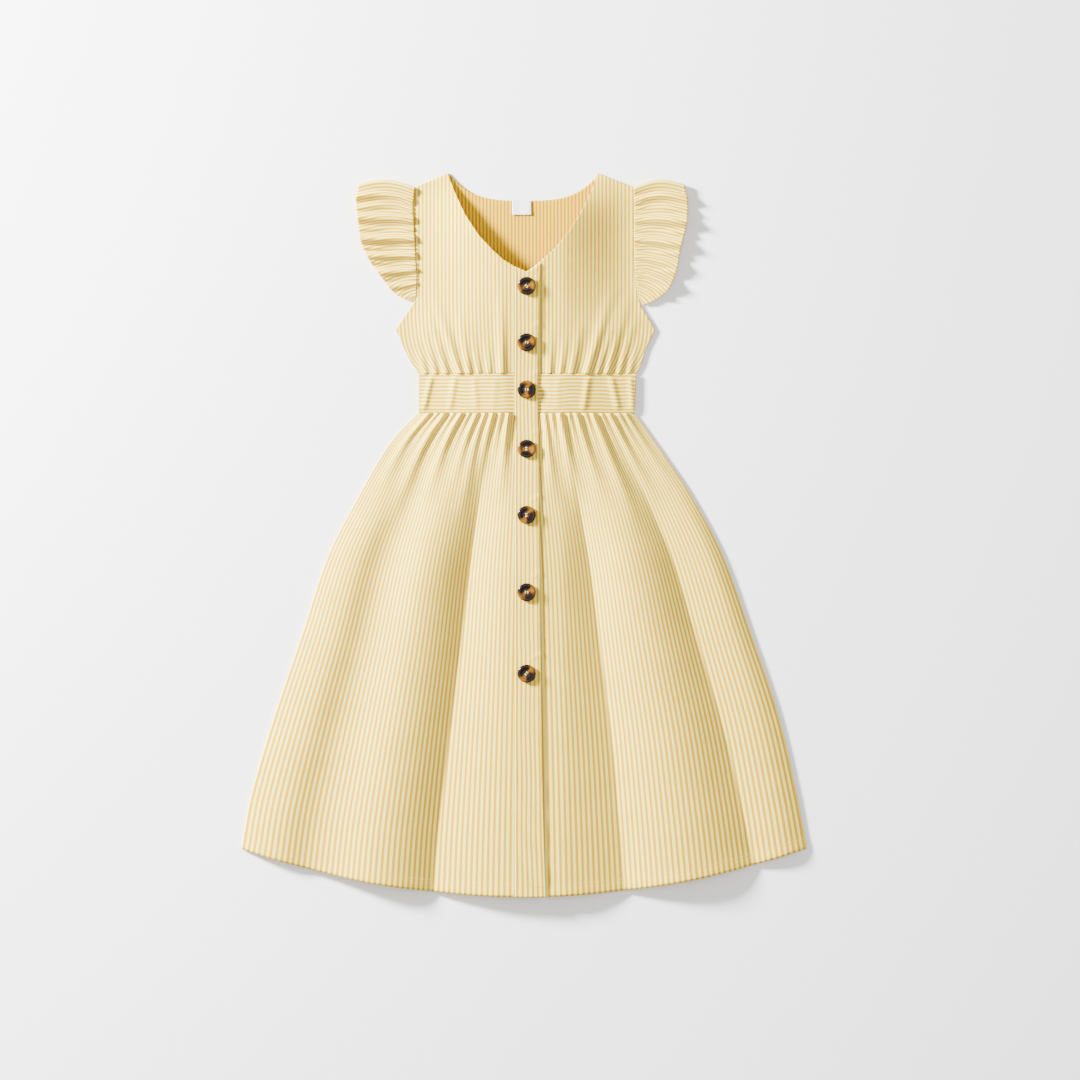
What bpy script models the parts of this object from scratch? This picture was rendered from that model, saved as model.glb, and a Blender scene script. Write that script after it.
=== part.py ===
"""A girl's button-front sundress with flutter sleeves, laid flat on its back, neck towards +Y.

Written in millimetres and scaled to metres once, in the mesh builders. X runs across the dress, Y up
it and Z up from the surface it lies on. Z = 0 is that surface, and X = 0 is the middle of the dress.
"""

import math

import bmesh
import bpy
from mathutils import Matrix, Vector

MM = 0.001

# Cloth
CLOTH = 1.2  # wall of a single panel
DOUBLED = 1.6  # wall of a waistband or the button band, which are folded double
GAP = 0.3  # clearance between a panel and what it lies on
SEAM = 0.4  # clearance between two panels that are sewn edge to edge
LOW = CLOTH + GAP  # underside of a front panel where it lies on the back
LAP = 2.0  # how far the right front drops to pass under the button band

# Levels along Y
WAIST_TOP = 176.5
WAIST_LOW = 133.6
HEM_SIDE = -345.0
HEM_CENTRE = -397.7
BODICE_FOOT = WAIST_TOP + SEAM

# Shoulders and neck
NECK_POINT_X = 82.5
NECK_POINT_Y = 397.4
SHOULDER_Y = 382.5
BACK_NECK_DEPTH = 30.0
BACK_NECK_ROUNDNESS = 3.4
V_BOTTOM_X = 3.0
V_BOTTOM_Y = 288.2

# Button band: sewn to the left front at its left edge, free at its right edge
BAND_LEFT = -10.0
BAND_TOP_LEFT = 293.7
BAND_TOP_RIGHT = 297.6
LEFT_FRONT_EDGE = BAND_LEFT - SEAM
RIGHT_FRONT_EDGE = -6.0
BAND_MIDDLE = 4.0
BAND_FLAT_HALF = 16.0
LAP_FROM = 27.0
LAP_TO = 47.0

# Buttons
BUTTON_RADIUS = 10.0
BUTTON_X = 3.0
BUTTON_Y = (272.3, 210.7, 159.0, 94.0, 21.5, -63.3, -152.4)
BUTTON_TURN = (20, 140, 95, 250, 210, 165, 120)  # degrees about each button's own axis
BUTTON_SEAT = 0.4
# From the middle of the face, over the rim, to the middle of the back: share of the radius, height
BUTTON_PROFILE = (
    (0.00, 1.6),
    (0.46, 1.7),
    (0.62, 2.5),
    (0.78, 3.0),
    (0.93, 2.6),
    (1.00, 1.7),
    (0.98, 0.7),
    (0.88, 0.0),
    (0.00, 0.0),
)
BUTTON_STEPS = 20
BUTTON_HOLE_RADIUS = 0.9
BUTTON_HOLE_OUT = 1.75

# Neck label
LABEL_X = (-13.0, 8.0)
LABEL_Y = (351.5, 367.0)
LABEL_THICK = 1.0

# Flutter sleeves
RUFFLE_SEAM = 0.7  # clearance to the armhole edge
RUFFLE_TURN = 2.0  # inner radius where the strip turns over the shoulder
RUFFLE_LOW = LOW + 0.3
RUFFLE_BOW = 6.5  # how far the shoulder fold bows up between seam and hem
RUFFLE_BACK_INSET = 0.94  # the back layer is this share as wide as the front one
RUFFLE_FULL = 55.0  # width at which the flutes reach their height
RUFFLE_LIFT = 1.5  # how far the front layer's hem stands above its seam
RUFFLE_SEAM_FLUTE = 0.3  # height of a flute at the armhole, as a share of its height at the hem
RUFFLE_TURNS_FROM = 0.86  # share of the way up where the front layer starts to rise to the turn
RUFFLE_BOWS_FROM = 0.7

# How wide the skirt is: level, left edge, right edge
SKIRT_SIDES = (
    (133.6, -116.0, 121.0),
    (110.6, -138.6, 137.5),
    (88.6, -155.0, 153.0),
    (44.6, -180.4, 182.6),
    (-21.4, -214.5, 217.8),
    (-109.4, -244.0, 249.7),
    (-197.4, -274.0, 279.4),
    (-285.4, -300.0, 300.0),
    (-345.0, -311.0, 311.0),
)

# Bodice edge from waist to shoulder: level, left edge, right edge
BODICE_SIDES = (
    (176.5, -115.8, 123.5),
    (187.0, -123.0, 129.0),
    (204.0, -132.0, 134.0),
    (225.0, -141.0, 144.0),
    (238.0, -132.5, 136.5),
    (250.0, -124.0, 129.0),
    (262.0, -118.5, 125.0),
    (282.0, -117.5, 121.5),
    (330.0, -120.0, 120.5),
    (362.0, -121.5, 121.0),
    (372.0, -120.6, 120.4),
    (382.5, -119.3, 119.7),
)

# Waistband edge, from the skirt up to the bodice
WAIST_SIDES = (SKIRT_SIDES[0], BODICE_SIDES[0])

# Inner edge of each bodice front as it climbs: level of its outer edge, left x, left y, right x, right y
BODICE_FRONT_EDGES = (
    (176.5, -10.4, 176.9, -6.0, 176.9),
    (204.0, -10.4, 214.0, -6.0, 210.0),
    (225.0, -10.4, 246.0, -6.0, 240.0),
    (238.0, -10.4, 272.0, -6.0, 264.0),
    (250.0, -10.4, 293.7, -6.0, 281.0),
    (262.0, -22.8, 301.3, 17.8, 299.0),
    (282.0, -34.0, 311.5, 33.4, 312.7),
    (310.0, -49.0, 327.5, 49.0, 332.0),
    (340.0, -64.5, 351.0, 63.0, 354.0),
    (362.0, -75.5, 375.0, 73.5, 376.0),
    (382.5, -84.2, 397.4, 81.4, 397.4),
)

# Height of the front over the back along the middle: level, height
CROWN = (
    (133.6, 7.0),
    (177.0, 7.5),
    (225.0, 11.0),
    (290.0, 16.0),
    (335.0, 20.0),
    (362.0, 18.0),
    (384.0, 8.0),
    (397.4, 1.0),
)

# Skirt folds: share of the half width at the waist and at the hem, height, 1 where the valley is sharp
SKIRT_FOLDS_LEFT = (
    (-1.000, -1.000, 0.0, 1),
    (-0.840, -0.870, 7.0, 0),
    (-0.705, -0.750, 3.0, 0),
    (-0.490, -0.512, 14.0, 0),
    (-0.262, -0.322, 0.6, 1),
)
SKIRT_FOLDS_RIGHT = (
    (0.323, 0.357, 0.6, 1),
    (0.525, 0.588, 14.0, 0),
    (0.718, 0.812, 0.6, 1),
    (0.925, 0.915, 5.0, 0),
    (1.000, 1.000, 0.0, 1),
)
BAND_CREST = 12.5  # height of the fold that carries the button band
FOLDS_FULL_AT = -40.0  # level at which the folds reach their height
SKIRT_ROWS = 16

# Button band's free edge: level, x
BAND_RIGHT_EDGE = (
    (297.6, 17.8),
    (159.0, 15.0),
    (94.0, 16.0),
    (-152.0, 18.7),
    (-300.0, 21.0),
    (-397.7, 24.0),
)

# Flutter sleeves: share of the way up the armhole, level at the seam, then each sleeve's hem x and y
RUFFLE_STATIONS = (
    (0.00, 260.0, -124.5, 256.5, 131.0, 252.5),
    (0.12, 270.0, -141.0, 264.0, 144.0, 258.0),
    (0.27, 285.0, -157.0, 283.0, 159.0, 270.0),
    (0.42, 302.0, -171.0, 303.0, 168.0, 292.0),
    (0.58, 322.0, -179.5, 322.0, 172.5, 316.0),
    (0.75, 345.0, -183.0, 346.0, 179.0, 342.0),
    (0.90, 366.0, -185.0, 368.0, 180.0, 366.0),
    (1.00, 379.5, -182.0, 383.0, 176.5, 382.5),
)
# Flutes of a sleeve: share of the way up where each begins, and its height at the hem
RUFFLE_FLUTES = (
    (0.00, 3.0),
    (0.11, 5.5),
    (0.25, 7.0),
    (0.38, 5.5),
    (0.53, 8.0),
    (0.69, 6.5),
    (0.84, 5.0),
    (1.00, 0.0),
)


def through(rows, column, at):
    """A smooth curve through one column of a table whose first column is the position."""
    if rows[0][0] > rows[-1][0]:
        rows = rows[::-1]
    at = min(max(at, rows[0][0]), rows[-1][0])
    i = next(k for k in range(1, len(rows)) if at <= rows[k][0]) - 1

    def slope(k):
        before, after = rows[max(k - 1, 0)], rows[min(k + 1, len(rows) - 1)]
        return (after[column] - before[column]) / (after[0] - before[0])

    span = rows[i + 1][0] - rows[i][0]
    t = (at - rows[i][0]) / span
    start, end = rows[i][column], rows[i + 1][column]
    return (
        (2 * t**3 - 3 * t**2 + 1) * start
        + (t**3 - 2 * t**2 + t) * span * slope(i)
        + (3 * t**2 - 2 * t**3) * end
        + (t**3 - t**2) * span * slope(i + 1)
    )


def straight(rows, column, at):
    """The same table read along straight lines, for an edge with real corners."""
    if rows[0][0] > rows[-1][0]:
        rows = rows[::-1]
    at = min(max(at, rows[0][0]), rows[-1][0])
    i = next(k for k in range(1, len(rows)) if at <= rows[k][0]) - 1
    t = (at - rows[i][0]) / (rows[i + 1][0] - rows[i][0])
    return rows[i][column] + t * (rows[i + 1][column] - rows[i][column])


def ease(t):
    t = min(max(t, 0.0), 1.0)
    return t * t * (3 - 2 * t)


def steps(start, end, count):
    return [start + (end - start) * k / count for k in range(count + 1)]


# ---------------------------------------------------------------- the form of the front


def swell(x, left, right):
    """1 across the flat middle, falling smoothly to 0 at the sides."""
    if x < BAND_MIDDLE:
        reach = (BAND_MIDDLE - BAND_FLAT_HALF - x) / (BAND_MIDDLE - BAND_FLAT_HALF - left)
    else:
        reach = (x - BAND_MIDDLE - BAND_FLAT_HALF) / (right - BAND_MIDDLE - BAND_FLAT_HALF)
    reach = min(max(reach, 0.0), 1.0)
    return (1 - reach**2) ** 2


def upper_height(x, y):
    """Underside of the front above the skirt."""
    table = BODICE_SIDES if y >= WAIST_TOP else WAIST_SIDES
    return LOW + through(CROWN, 1, y) * swell(x, straight(table, 1, y), straight(table, 2, y))


def skirt_level(y):
    """0 at the waist seam and 1 at the hem, along the middle."""
    return (WAIST_LOW - y) / (WAIST_LOW - HEM_CENTRE)


def skirt_sides(level):
    y = WAIST_LOW + (HEM_SIDE - WAIST_LOW) * level
    return y, through(SKIRT_SIDES, 1, y), through(SKIRT_SIDES, 2, y)


def fold_knots(level):
    """The skirt's crests and valleys across one level: x, height, sharp."""
    y, left, right = skirt_sides(level)
    knots = [
        ((a + (b - a) * level) * -left, height, sharp) for a, b, height, sharp in SKIRT_FOLDS_LEFT
    ]
    knots.append((BAND_MIDDLE - BAND_FLAT_HALF, BAND_CREST, 0))
    knots.append((BAND_MIDDLE + BAND_FLAT_HALF, BAND_CREST, 0))
    knots += [
        ((a + (b - a) * level) * right, height, sharp) for a, b, height, sharp in SKIRT_FOLDS_RIGHT
    ]
    return knots


def fold_height(x, level):
    knots = fold_knots(level)
    x = min(max(x, knots[0][0]), knots[-1][0])
    i = next(k for k in range(1, len(knots)) if x <= knots[k][0] + 1e-9) - 1
    (start, from_height, from_sharp), (end, to_height, to_sharp) = knots[i], knots[i + 1]
    t = (x - start) / (end - start)
    if from_sharp:
        rise = math.sin(t * math.pi / 2)
    elif to_sharp:
        rise = 1 - math.cos(t * math.pi / 2)
    else:
        rise = (1 - math.cos(t * math.pi)) / 2
    return from_height + (to_height - from_height) * rise


def skirt_height(x, level):
    """Underside of the skirt front: the waistband's swell, which the folds take over."""
    y, left, right = skirt_sides(level)
    share = ease((WAIST_LOW - y) / (WAIST_LOW - FOLDS_FULL_AT))
    crown = through(CROWN, 1, WAIST_LOW) * swell(x, left, right)
    return LOW + crown + (fold_height(x, level) - crown) * share


def front_height(x, y):
    """Underside of the front's top layer along the button band."""
    return upper_height(x, y) if y > WAIST_LOW else skirt_height(x, skirt_level(y))


def lap_drop(x):
    """How far the right front lies under the button band's level."""
    return LAP * (1 - ease((x - LAP_FROM) / (LAP_TO - LAP_FROM)))


def skirt_point(x, level):
    """A point of the skirt: rows sag towards the middle as they near the hem."""
    y, left, right = skirt_sides(level)
    share = x / (left if x < 0 else right)
    sag = (HEM_CENTRE - HEM_SIDE) * level * (1 - share**2)
    return x, y + sag


# ---------------------------------------------------------------- builders


def material(name, colour, roughness):
    made = bpy.data.materials.new(name)
    made.use_nodes = True
    shader = made.node_tree.nodes["Principled BSDF"]
    shader.inputs["Base Color"].default_value = (*colour, 1.0)
    shader.inputs["Roughness"].default_value = roughness
    return made


def cloth(name, rows, thickness, finish, parts):
    """A wall of cloth: rows of points on its inner side, thickened outwards."""
    bm = bmesh.new()
    grid = [[bm.verts.new(Vector(point) * MM) for point in row] for row in rows]
    for low, high in zip(grid, grid[1:]):
        for a, b, c, d in zip(low, low[1:], high[1:], high):
            bm.faces.new((a, b, c, d))
    bm.normal_update()
    if bm.faces[:][0].normal.z < 0:
        bmesh.ops.reverse_faces(bm, faces=bm.faces[:])
    mesh = bpy.data.meshes.new(name)
    bm.to_mesh(mesh)
    bm.free()
    mesh.shade_smooth()
    made = bpy.data.objects.new(name, mesh)
    made.data.materials.append(finish)
    parts.objects.link(made)
    wall = made.modifiers.new("Wall", "SOLIDIFY")
    wall.thickness = thickness * MM
    wall.offset = 1.0
    wall.use_even_offset = True
    return made


# ---------------------------------------------------------------- panels of the back


def make_skirt_back(finish, parts):
    rows = []
    for level in steps(1.0, 0.0, SKIRT_ROWS):
        _, left, right = skirt_sides(level)
        across = steps(left, 0.0, 5) + steps(0.0, right, 5)[1:]
        rows.append([(*skirt_point(x, level), 0.0) for x in across])
    cloth("skirt_back", rows, CLOTH, finish, parts)


def make_waistband(name, left_edge, right_edge, columns, height, thickness, finish, parts):
    """left_edge and right_edge take a level and give x; height takes x and y and gives the underside."""
    rows = []
    for y in steps(WAIST_LOW + SEAM, WAIST_TOP, 3):
        across = steps(left_edge(y), right_edge(y), columns)
        rows.append([(x, y, height(x, y)) for x in across])
    cloth(name, rows, thickness, finish, parts)


def waist_left(y):
    return straight(WAIST_SIDES, 1, y)


def waist_right(y):
    return straight(WAIST_SIDES, 2, y)


def back_top(x):
    """Upper edge of the back: shoulders outside the neck points, a round neck between them."""
    if abs(x) >= NECK_POINT_X:
        outside = (abs(x) - NECK_POINT_X) / (BODICE_SIDES[-1][2] - NECK_POINT_X)
        return NECK_POINT_Y + (SHOULDER_Y - NECK_POINT_Y) * outside
    return NECK_POINT_Y - BACK_NECK_DEPTH * (1 - (abs(x) / NECK_POINT_X) ** BACK_NECK_ROUNDNESS)


def make_bodice_back(finish, parts):
    top_left, top_right = BODICE_SIDES[-1][1:]
    across = steps(top_left, -NECK_POINT_X, 2) + steps(-NECK_POINT_X, NECK_POINT_X, 14)[1:]
    across += steps(NECK_POINT_X, top_right, 2)[1:]
    levels = [BODICE_FOOT] + [row[0] for row in BODICE_SIDES[1:]]
    rows = []
    for level in levels:
        left, right = straight(BODICE_SIDES, 1, level), straight(BODICE_SIDES, 2, level)
        climb = (level - BODICE_FOOT) / (SHOULDER_Y - BODICE_FOOT)
        row = []
        for top_x in across:
            share = (top_x - top_left) / (top_right - top_left)
            y = BODICE_FOOT + climb * (back_top(top_x) - BODICE_FOOT)
            row.append((left + share * (right - left), y, 0.0))
        rows.append(row)
    cloth("bodice_back", rows, CLOTH, finish, parts)


# ---------------------------------------------------------------- panels of the front


def make_skirt_front(name, on_left, finish, parts):
    rows = []
    for level in steps(1.0, SEAM / (WAIST_LOW - HEM_CENTRE), SKIRT_ROWS):
        knots = [x for x, _, _ in fold_knots(level)]
        knots = knots[:5] + [LEFT_FRONT_EDGE] if on_left else [RIGHT_FRONT_EDGE] + knots[6:]
        across = [knots[0]]
        for start, end in zip(knots, knots[1:]):
            across += steps(start, end, 4)[1:]
        row = []
        for x in across:
            drop = 0.0 if on_left else lap_drop(x)
            row.append((*skirt_point(x, level), skirt_height(x, level) - drop))
        rows.append(row)
    cloth(name, rows, CLOTH, finish, parts)


def make_bodice_front(name, on_left, finish, parts):
    side, edge_x, edge_y = (1, 1, 2) if on_left else (2, 3, 4)
    levels = sorted({row[0] for row in BODICE_SIDES + BODICE_FRONT_EDGES})
    rows = []
    for level in levels:
        outer = straight(BODICE_SIDES, side, level), max(level, BODICE_FOOT)
        inner = straight(BODICE_FRONT_EDGES, edge_x, level), straight(BODICE_FRONT_EDGES, edge_y, level)
        row = []
        for share in steps(0.0, 1.0, 12):
            if not on_left:
                share = 1 - share
            x = outer[0] + (inner[0] - outer[0]) * share
            y = outer[1] + (inner[1] - outer[1]) * share
            drop = 0.0 if on_left else lap_drop(x)
            row.append((x, y, upper_height(x, y) - drop))
        rows.append(row)
    cloth(name, rows, CLOTH, finish, parts)


def band_top(x):
    """Upper edge of the button band, notched at the bottom of the V."""
    if x < V_BOTTOM_X:
        return V_BOTTOM_Y + (BAND_TOP_LEFT - V_BOTTOM_Y) * (V_BOTTOM_X - x) / (V_BOTTOM_X - BAND_LEFT)
    right = BAND_RIGHT_EDGE[0][1]
    return V_BOTTOM_Y + (BAND_TOP_RIGHT - V_BOTTOM_Y) * (x - V_BOTTOM_X) / (right - V_BOTTOM_X)


def make_button_band(finish, parts):
    top_right = BAND_RIGHT_EDGE[0][1]
    across = steps(BAND_LEFT, V_BOTTOM_X, 2) + steps(V_BOTTOM_X, top_right, 2)[1:]
    rows = []
    for down in steps(1.0, 0.0, 48):
        middle_y = V_BOTTOM_Y + (HEM_CENTRE - V_BOTTOM_Y) * down
        right = through(BAND_RIGHT_EDGE, 1, middle_y)
        notched = ease((middle_y - BUTTON_Y[0]) / (V_BOTTOM_Y - BUTTON_Y[0]))
        row = []
        for top_x in across:
            share = (top_x - BAND_LEFT) / (top_right - BAND_LEFT)
            x = BAND_LEFT + share * (right - BAND_LEFT)
            y = middle_y + (band_top(top_x) - V_BOTTOM_Y) * notched
            row.append((x, y, front_height(BAND_MIDDLE, y)))
        rows.append(row)
    cloth("button_band", rows, DOUBLED, finish, parts)


# ---------------------------------------------------------------- flutter sleeves


def flute_height(share):
    """Height of the sleeve's flutes at its hem, a share of the way up the armhole."""
    for (start, height), (end, _) in zip(RUFFLE_FLUTES, RUFFLE_FLUTES[1:]):
        if share <= end:
            return height * math.sin(math.pi * (share - start) / (end - start)) ** 2
    return 0.0


def ruffle_point(side, share, out, width):
    """x and y a share of the way up the armhole and a share of the way out to the hem."""
    seam_y = through(RUFFLE_STATIONS, 1, share)
    armhole = straight(BODICE_SIDES, 1 if side < 0 else 2, seam_y)
    seam_x = armhole + side * RUFFLE_SEAM
    hem_x = through(RUFFLE_STATIONS, 2 if side < 0 else 4, share)
    hem_y = through(RUFFLE_STATIONS, 3 if side < 0 else 5, share)
    x = seam_x + (hem_x - seam_x) * out * width
    bow = RUFFLE_BOW * math.sin(math.pi * out) * ease((share - RUFFLE_BOWS_FROM) / (1 - RUFFLE_BOWS_FROM))
    return x, seam_y + (hem_y - seam_y) * out * width + bow


def make_ruffle(name, side, finish, parts):
    """One strip: its front layer, the turn over the shoulder, and its back layer, which lies flat."""
    out = steps(0.0, 1.0, 5)
    rows = []
    turn_top = CLOTH + 2 * RUFFLE_TURN
    for share in steps(0.0, 1.0, 28):
        to_turn = ease((share - RUFFLE_TURNS_FROM) / (1 - RUFFLE_TURNS_FROM))
        seam, hem = (ruffle_point(side, share, o, 1.0) for o in (0.0, 1.0))
        full = min(math.dist(seam, hem) / RUFFLE_FULL, 1.0)
        row = []
        for o in out:
            flute = flute_height(share) * (RUFFLE_SEAM_FLUTE + (1 - RUFFLE_SEAM_FLUTE) * o)
            z = RUFFLE_LOW + full * (flute + RUFFLE_LIFT * o)
            row.append((*ruffle_point(side, share, o, 1.0), z + (turn_top - z) * to_turn))
        rows.append(row)
    for angle in (45, 0, -45):
        past = RUFFLE_TURN * math.cos(math.radians(angle))
        z = CLOTH + RUFFLE_TURN * (1 + math.sin(math.radians(angle)))
        turned = [ruffle_point(side, 1.0, o, 1.0) for o in out]
        rows.append([(x, y + past, z) for x, y in turned])
    for share in steps(1.0, 0.0, 8):
        width = 1.0 if share == 1.0 else RUFFLE_BACK_INSET
        rows.append([(*ruffle_point(side, share, o, width), CLOTH) for o in out])
    cloth(name, rows, CLOTH, finish, parts)


# ---------------------------------------------------------------- label and buttons


def make_label(finish, parts):
    bpy.ops.mesh.primitive_cube_add(size=1.0)
    label = bpy.context.object
    label.name = "neck_label"
    size = Vector((LABEL_X[1] - LABEL_X[0], LABEL_Y[1] - LABEL_Y[0], LABEL_THICK)) * MM
    label.data.transform(Matrix.Diagonal((*size, 1.0)))
    label.location = Vector((sum(LABEL_X) / 2, sum(LABEL_Y) / 2, LOW + LABEL_THICK / 2)) * MM
    label.data.materials.append(finish)
    move_to(label, parts)


def move_to(made, collection):
    for holder in made.users_collection:
        holder.objects.unlink(made)
    collection.objects.link(made)


def button_mesh(parts, cutters):
    """A round dished button with four holes, turned about Z, standing on Z = 0."""
    mesh = bpy.data.meshes.new("button")
    points = [(share * BUTTON_RADIUS * MM, 0.0, z * MM) for share, z in BUTTON_PROFILE]
    mesh.from_pydata(points, [(k, k + 1) for k in range(len(points) - 1)], [])
    blank = bpy.data.objects.new("button_blank", mesh)
    parts.objects.link(blank)
    turned = blank.modifiers.new("Turned", "SCREW")
    turned.steps = turned.render_steps = BUTTON_STEPS
    turned.use_merge_vertices = True
    turned.merge_threshold = 0.00001
    for k in range(4):
        angle = math.radians(45 + 90 * k)
        bpy.ops.mesh.primitive_cylinder_add(vertices=8, radius=BUTTON_HOLE_RADIUS * MM, depth=10 * MM)
        cutter = bpy.context.object
        cutter.name = f"button_hole_{k + 1}"
        cutter.location = Vector((math.cos(angle), math.sin(angle), 0)) * BUTTON_HOLE_OUT * MM
        cutter.hide_render = True
        cutter.display_type = "WIRE"
        move_to(cutter, cutters)
        hole = blank.modifiers.new(f"Hole {k + 1}", "BOOLEAN")
        hole.operation = "DIFFERENCE"
        hole.solver = "EXACT"
        hole.object = cutter
    bpy.context.view_layer.update()
    graph = bpy.context.evaluated_depsgraph_get()
    finished = bpy.data.meshes.new_from_object(blank.evaluated_get(graph))
    finished.shade_smooth()
    finished.set_sharp_from_angle(angle=math.radians(40))
    bpy.data.objects.remove(blank)
    return finished


def make_buttons(finish, parts, cutters):
    mesh = button_mesh(parts, cutters)
    mesh.materials.append(finish)
    for number, (y, turn) in enumerate(zip(BUTTON_Y, BUTTON_TURN), start=1):
        near, far = (front_height(BAND_MIDDLE, y + dy) for dy in (-BUTTON_RADIUS, BUTTON_RADIUS))
        tilt = math.atan2(far - near, 2 * BUTTON_RADIUS)
        button = bpy.data.objects.new(f"button_{number}", mesh)
        button.location = Vector((BUTTON_X, y, (near + far) / 2 + DOUBLED + BUTTON_SEAT)) * MM
        button.rotation_mode = "ZYX"
        button.rotation_euler = (tilt, 0, math.radians(turn))
        parts.objects.link(button)


def main():
    for made in list(bpy.data.objects):
        bpy.data.objects.remove(made)
    parts = bpy.data.collections.new("sundress")
    cutters = bpy.data.collections.new("cutters")
    for collection in (parts, cutters):
        bpy.context.scene.collection.children.link(collection)
    cutters.hide_render = True

    poplin = material("Striped poplin", (0.93, 0.80, 0.36), 0.75)
    shell = material("Tortoiseshell", (0.16, 0.06, 0.015), 0.2)
    tape = material("White satin tape", (0.86, 0.84, 0.83), 0.5)

    make_skirt_back(poplin, parts)
    make_bodice_back(poplin, parts)
    make_waistband("waistband_back", waist_left, waist_right, 8, lambda x, y: 0.0, CLOTH, poplin, parts)
    make_skirt_front("skirt_front_left", True, poplin, parts)
    make_skirt_front("skirt_front_right", False, poplin, parts)
    make_bodice_front("bodice_front_left", True, poplin, parts)
    make_bodice_front("bodice_front_right", False, poplin, parts)
    make_waistband(
        "waistband_front_left", waist_left, lambda y: LEFT_FRONT_EDGE, 8, upper_height, DOUBLED, poplin, parts
    )
    make_waistband(
        "waistband_front_right",
        lambda y: RIGHT_FRONT_EDGE,
        waist_right,
        10,
        lambda x, y: upper_height(x, y) - lap_drop(x),
        DOUBLED,
        poplin,
        parts,
    )
    make_button_band(poplin, parts)
    make_ruffle("sleeve_left", -1, poplin, parts)
    make_ruffle("sleeve_right", 1, poplin, parts)
    make_label(tape, parts)
    make_buttons(shell, parts, cutters)


main()
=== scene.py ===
"""The looks of the sundress: striped poplin panels with gathers, flutes and creases, tortoiseshell
buttons, stitching, light and camera. Forms are worked out in millimetres and scaled in the builders.
"""

import math

import bmesh
import bpy
import numpy as np
from mathutils import Matrix, Vector


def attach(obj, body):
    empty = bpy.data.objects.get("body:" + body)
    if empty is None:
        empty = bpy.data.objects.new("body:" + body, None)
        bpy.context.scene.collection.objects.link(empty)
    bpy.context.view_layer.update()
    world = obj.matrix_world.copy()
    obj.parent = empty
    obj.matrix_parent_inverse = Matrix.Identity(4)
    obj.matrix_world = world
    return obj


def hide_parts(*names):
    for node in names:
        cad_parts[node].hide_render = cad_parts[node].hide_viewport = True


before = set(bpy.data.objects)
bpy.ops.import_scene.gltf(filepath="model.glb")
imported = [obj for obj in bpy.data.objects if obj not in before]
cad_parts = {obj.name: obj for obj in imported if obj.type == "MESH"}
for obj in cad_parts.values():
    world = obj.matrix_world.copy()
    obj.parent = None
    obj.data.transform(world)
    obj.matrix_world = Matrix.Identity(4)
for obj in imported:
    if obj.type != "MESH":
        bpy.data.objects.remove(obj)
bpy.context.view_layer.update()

MM = 0.001
SHEET = 0.45  # thickness of one layer of poplin
DOUBLE_SHEET = 0.8  # the waistband and the button band, which are two layers
STRIPE = 4.2  # width of one yellow and one white stripe together, where the cloth lies flat
BACK_STRIPE = 3.9
WAISTBAND_STRIPE = 4.1

# Sizes shared with the construction
CLOTH, LOW = 1.2, 1.5  # thickness of the back, and the height of the front above it
LAP = 1.2  # how far the right front lies below the left one, under the button band
BAND_LIFT = 0.5  # how far the button band stands off the panels below it
SEAM_GAP = 0.2  # how far the front panels stop short of the waist seams
WAIST_TOP, WAIST_LOW = 176.5, 133.6
HEM_SIDE, HEM_CENTRE = -345.0, -397.7
SHOULDER_Y, NECK_POINT_X, NECK_POINT_Y = 382.5, 82.5, 397.4
BACK_NECK_DEPTH, BACK_NECK_ROUNDNESS = 30.0, 3.4
V_BOTTOM_X, V_BOTTOM_Y = 3.0, 288.2
BAND_LEFT, BAND_TOP_LEFT, BAND_TOP_RIGHT = -10.0, 293.7, 297.6
BAND_MIDDLE, BAND_FLAT_HALF = 4.0, 16.0
LAP_FROM, LAP_TO = 27.0, 47.0
RIGHT_FRONT_EDGE = -6.0
FOLDS_FULL_AT, BAND_CREST = -40.0, 12.5
BUTTON_X, BUTTON_RADIUS = 3.0, 10.0
BUTTON_Y = (272.3, 210.7, 159.0, 94.0, 21.5, -63.3, -152.4)
HEM_DEPTH = 12.0
HEM_HALF = 311.0  # half the width of the hem
PUCKER_Y = -291.0  # where the button band's stitching ends

SKIRT_SIDES = (
    (133.6, -116.0, 121.0), (110.6, -138.6, 137.5), (88.6, -155.0, 153.0), (44.6, -180.4, 182.6),
    (-21.4, -214.5, 217.8), (-109.4, -244.0, 249.7), (-197.4, -274.0, 279.4), (-285.4, -300.0, 300.0),
    (-345.0, -311.0, 311.0),
)
BODICE_SIDES = (
    (176.5, -115.8, 123.5), (187.0, -123.0, 129.0), (204.0, -132.0, 134.0), (225.0, -141.0, 144.0),
    (238.0, -132.5, 136.5), (250.0, -124.0, 129.0), (262.0, -118.5, 125.0), (282.0, -117.5, 121.5),
    (330.0, -120.0, 120.5), (362.0, -121.5, 121.0), (372.0, -120.6, 120.4), (382.5, -119.3, 119.7),
)
# Level of the outer edge, then the inner edge of the left and of the right front: x, y, x, y
BODICE_FRONT_EDGES = (
    (176.5, -10.2, 176.7, -6.0, 176.7), (204.0, -10.2, 214.0, -6.0, 210.0),
    (225.0, -10.2, 246.0, -6.0, 240.0), (238.0, -10.2, 272.0, -6.0, 264.0),
    (250.0, -10.2, 293.7, -6.0, 281.0), (262.0, -22.8, 301.3, 17.8, 299.0),
    (282.0, -34.0, 311.5, 33.4, 312.7), (310.0, -49.0, 327.5, 49.0, 332.0),
    (340.0, -64.5, 351.0, 63.0, 354.0), (362.0, -75.5, 375.0, 73.5, 376.0),
    (382.5, -84.2, 397.4, 81.4, 397.4),
)
CROWN = (
    (133.6, 7.0), (177.0, 7.5), (225.0, 11.0), (290.0, 16.0),
    (335.0, 20.0), (362.0, 18.0), (384.0, 8.0), (397.4, 1.0),
)
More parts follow.
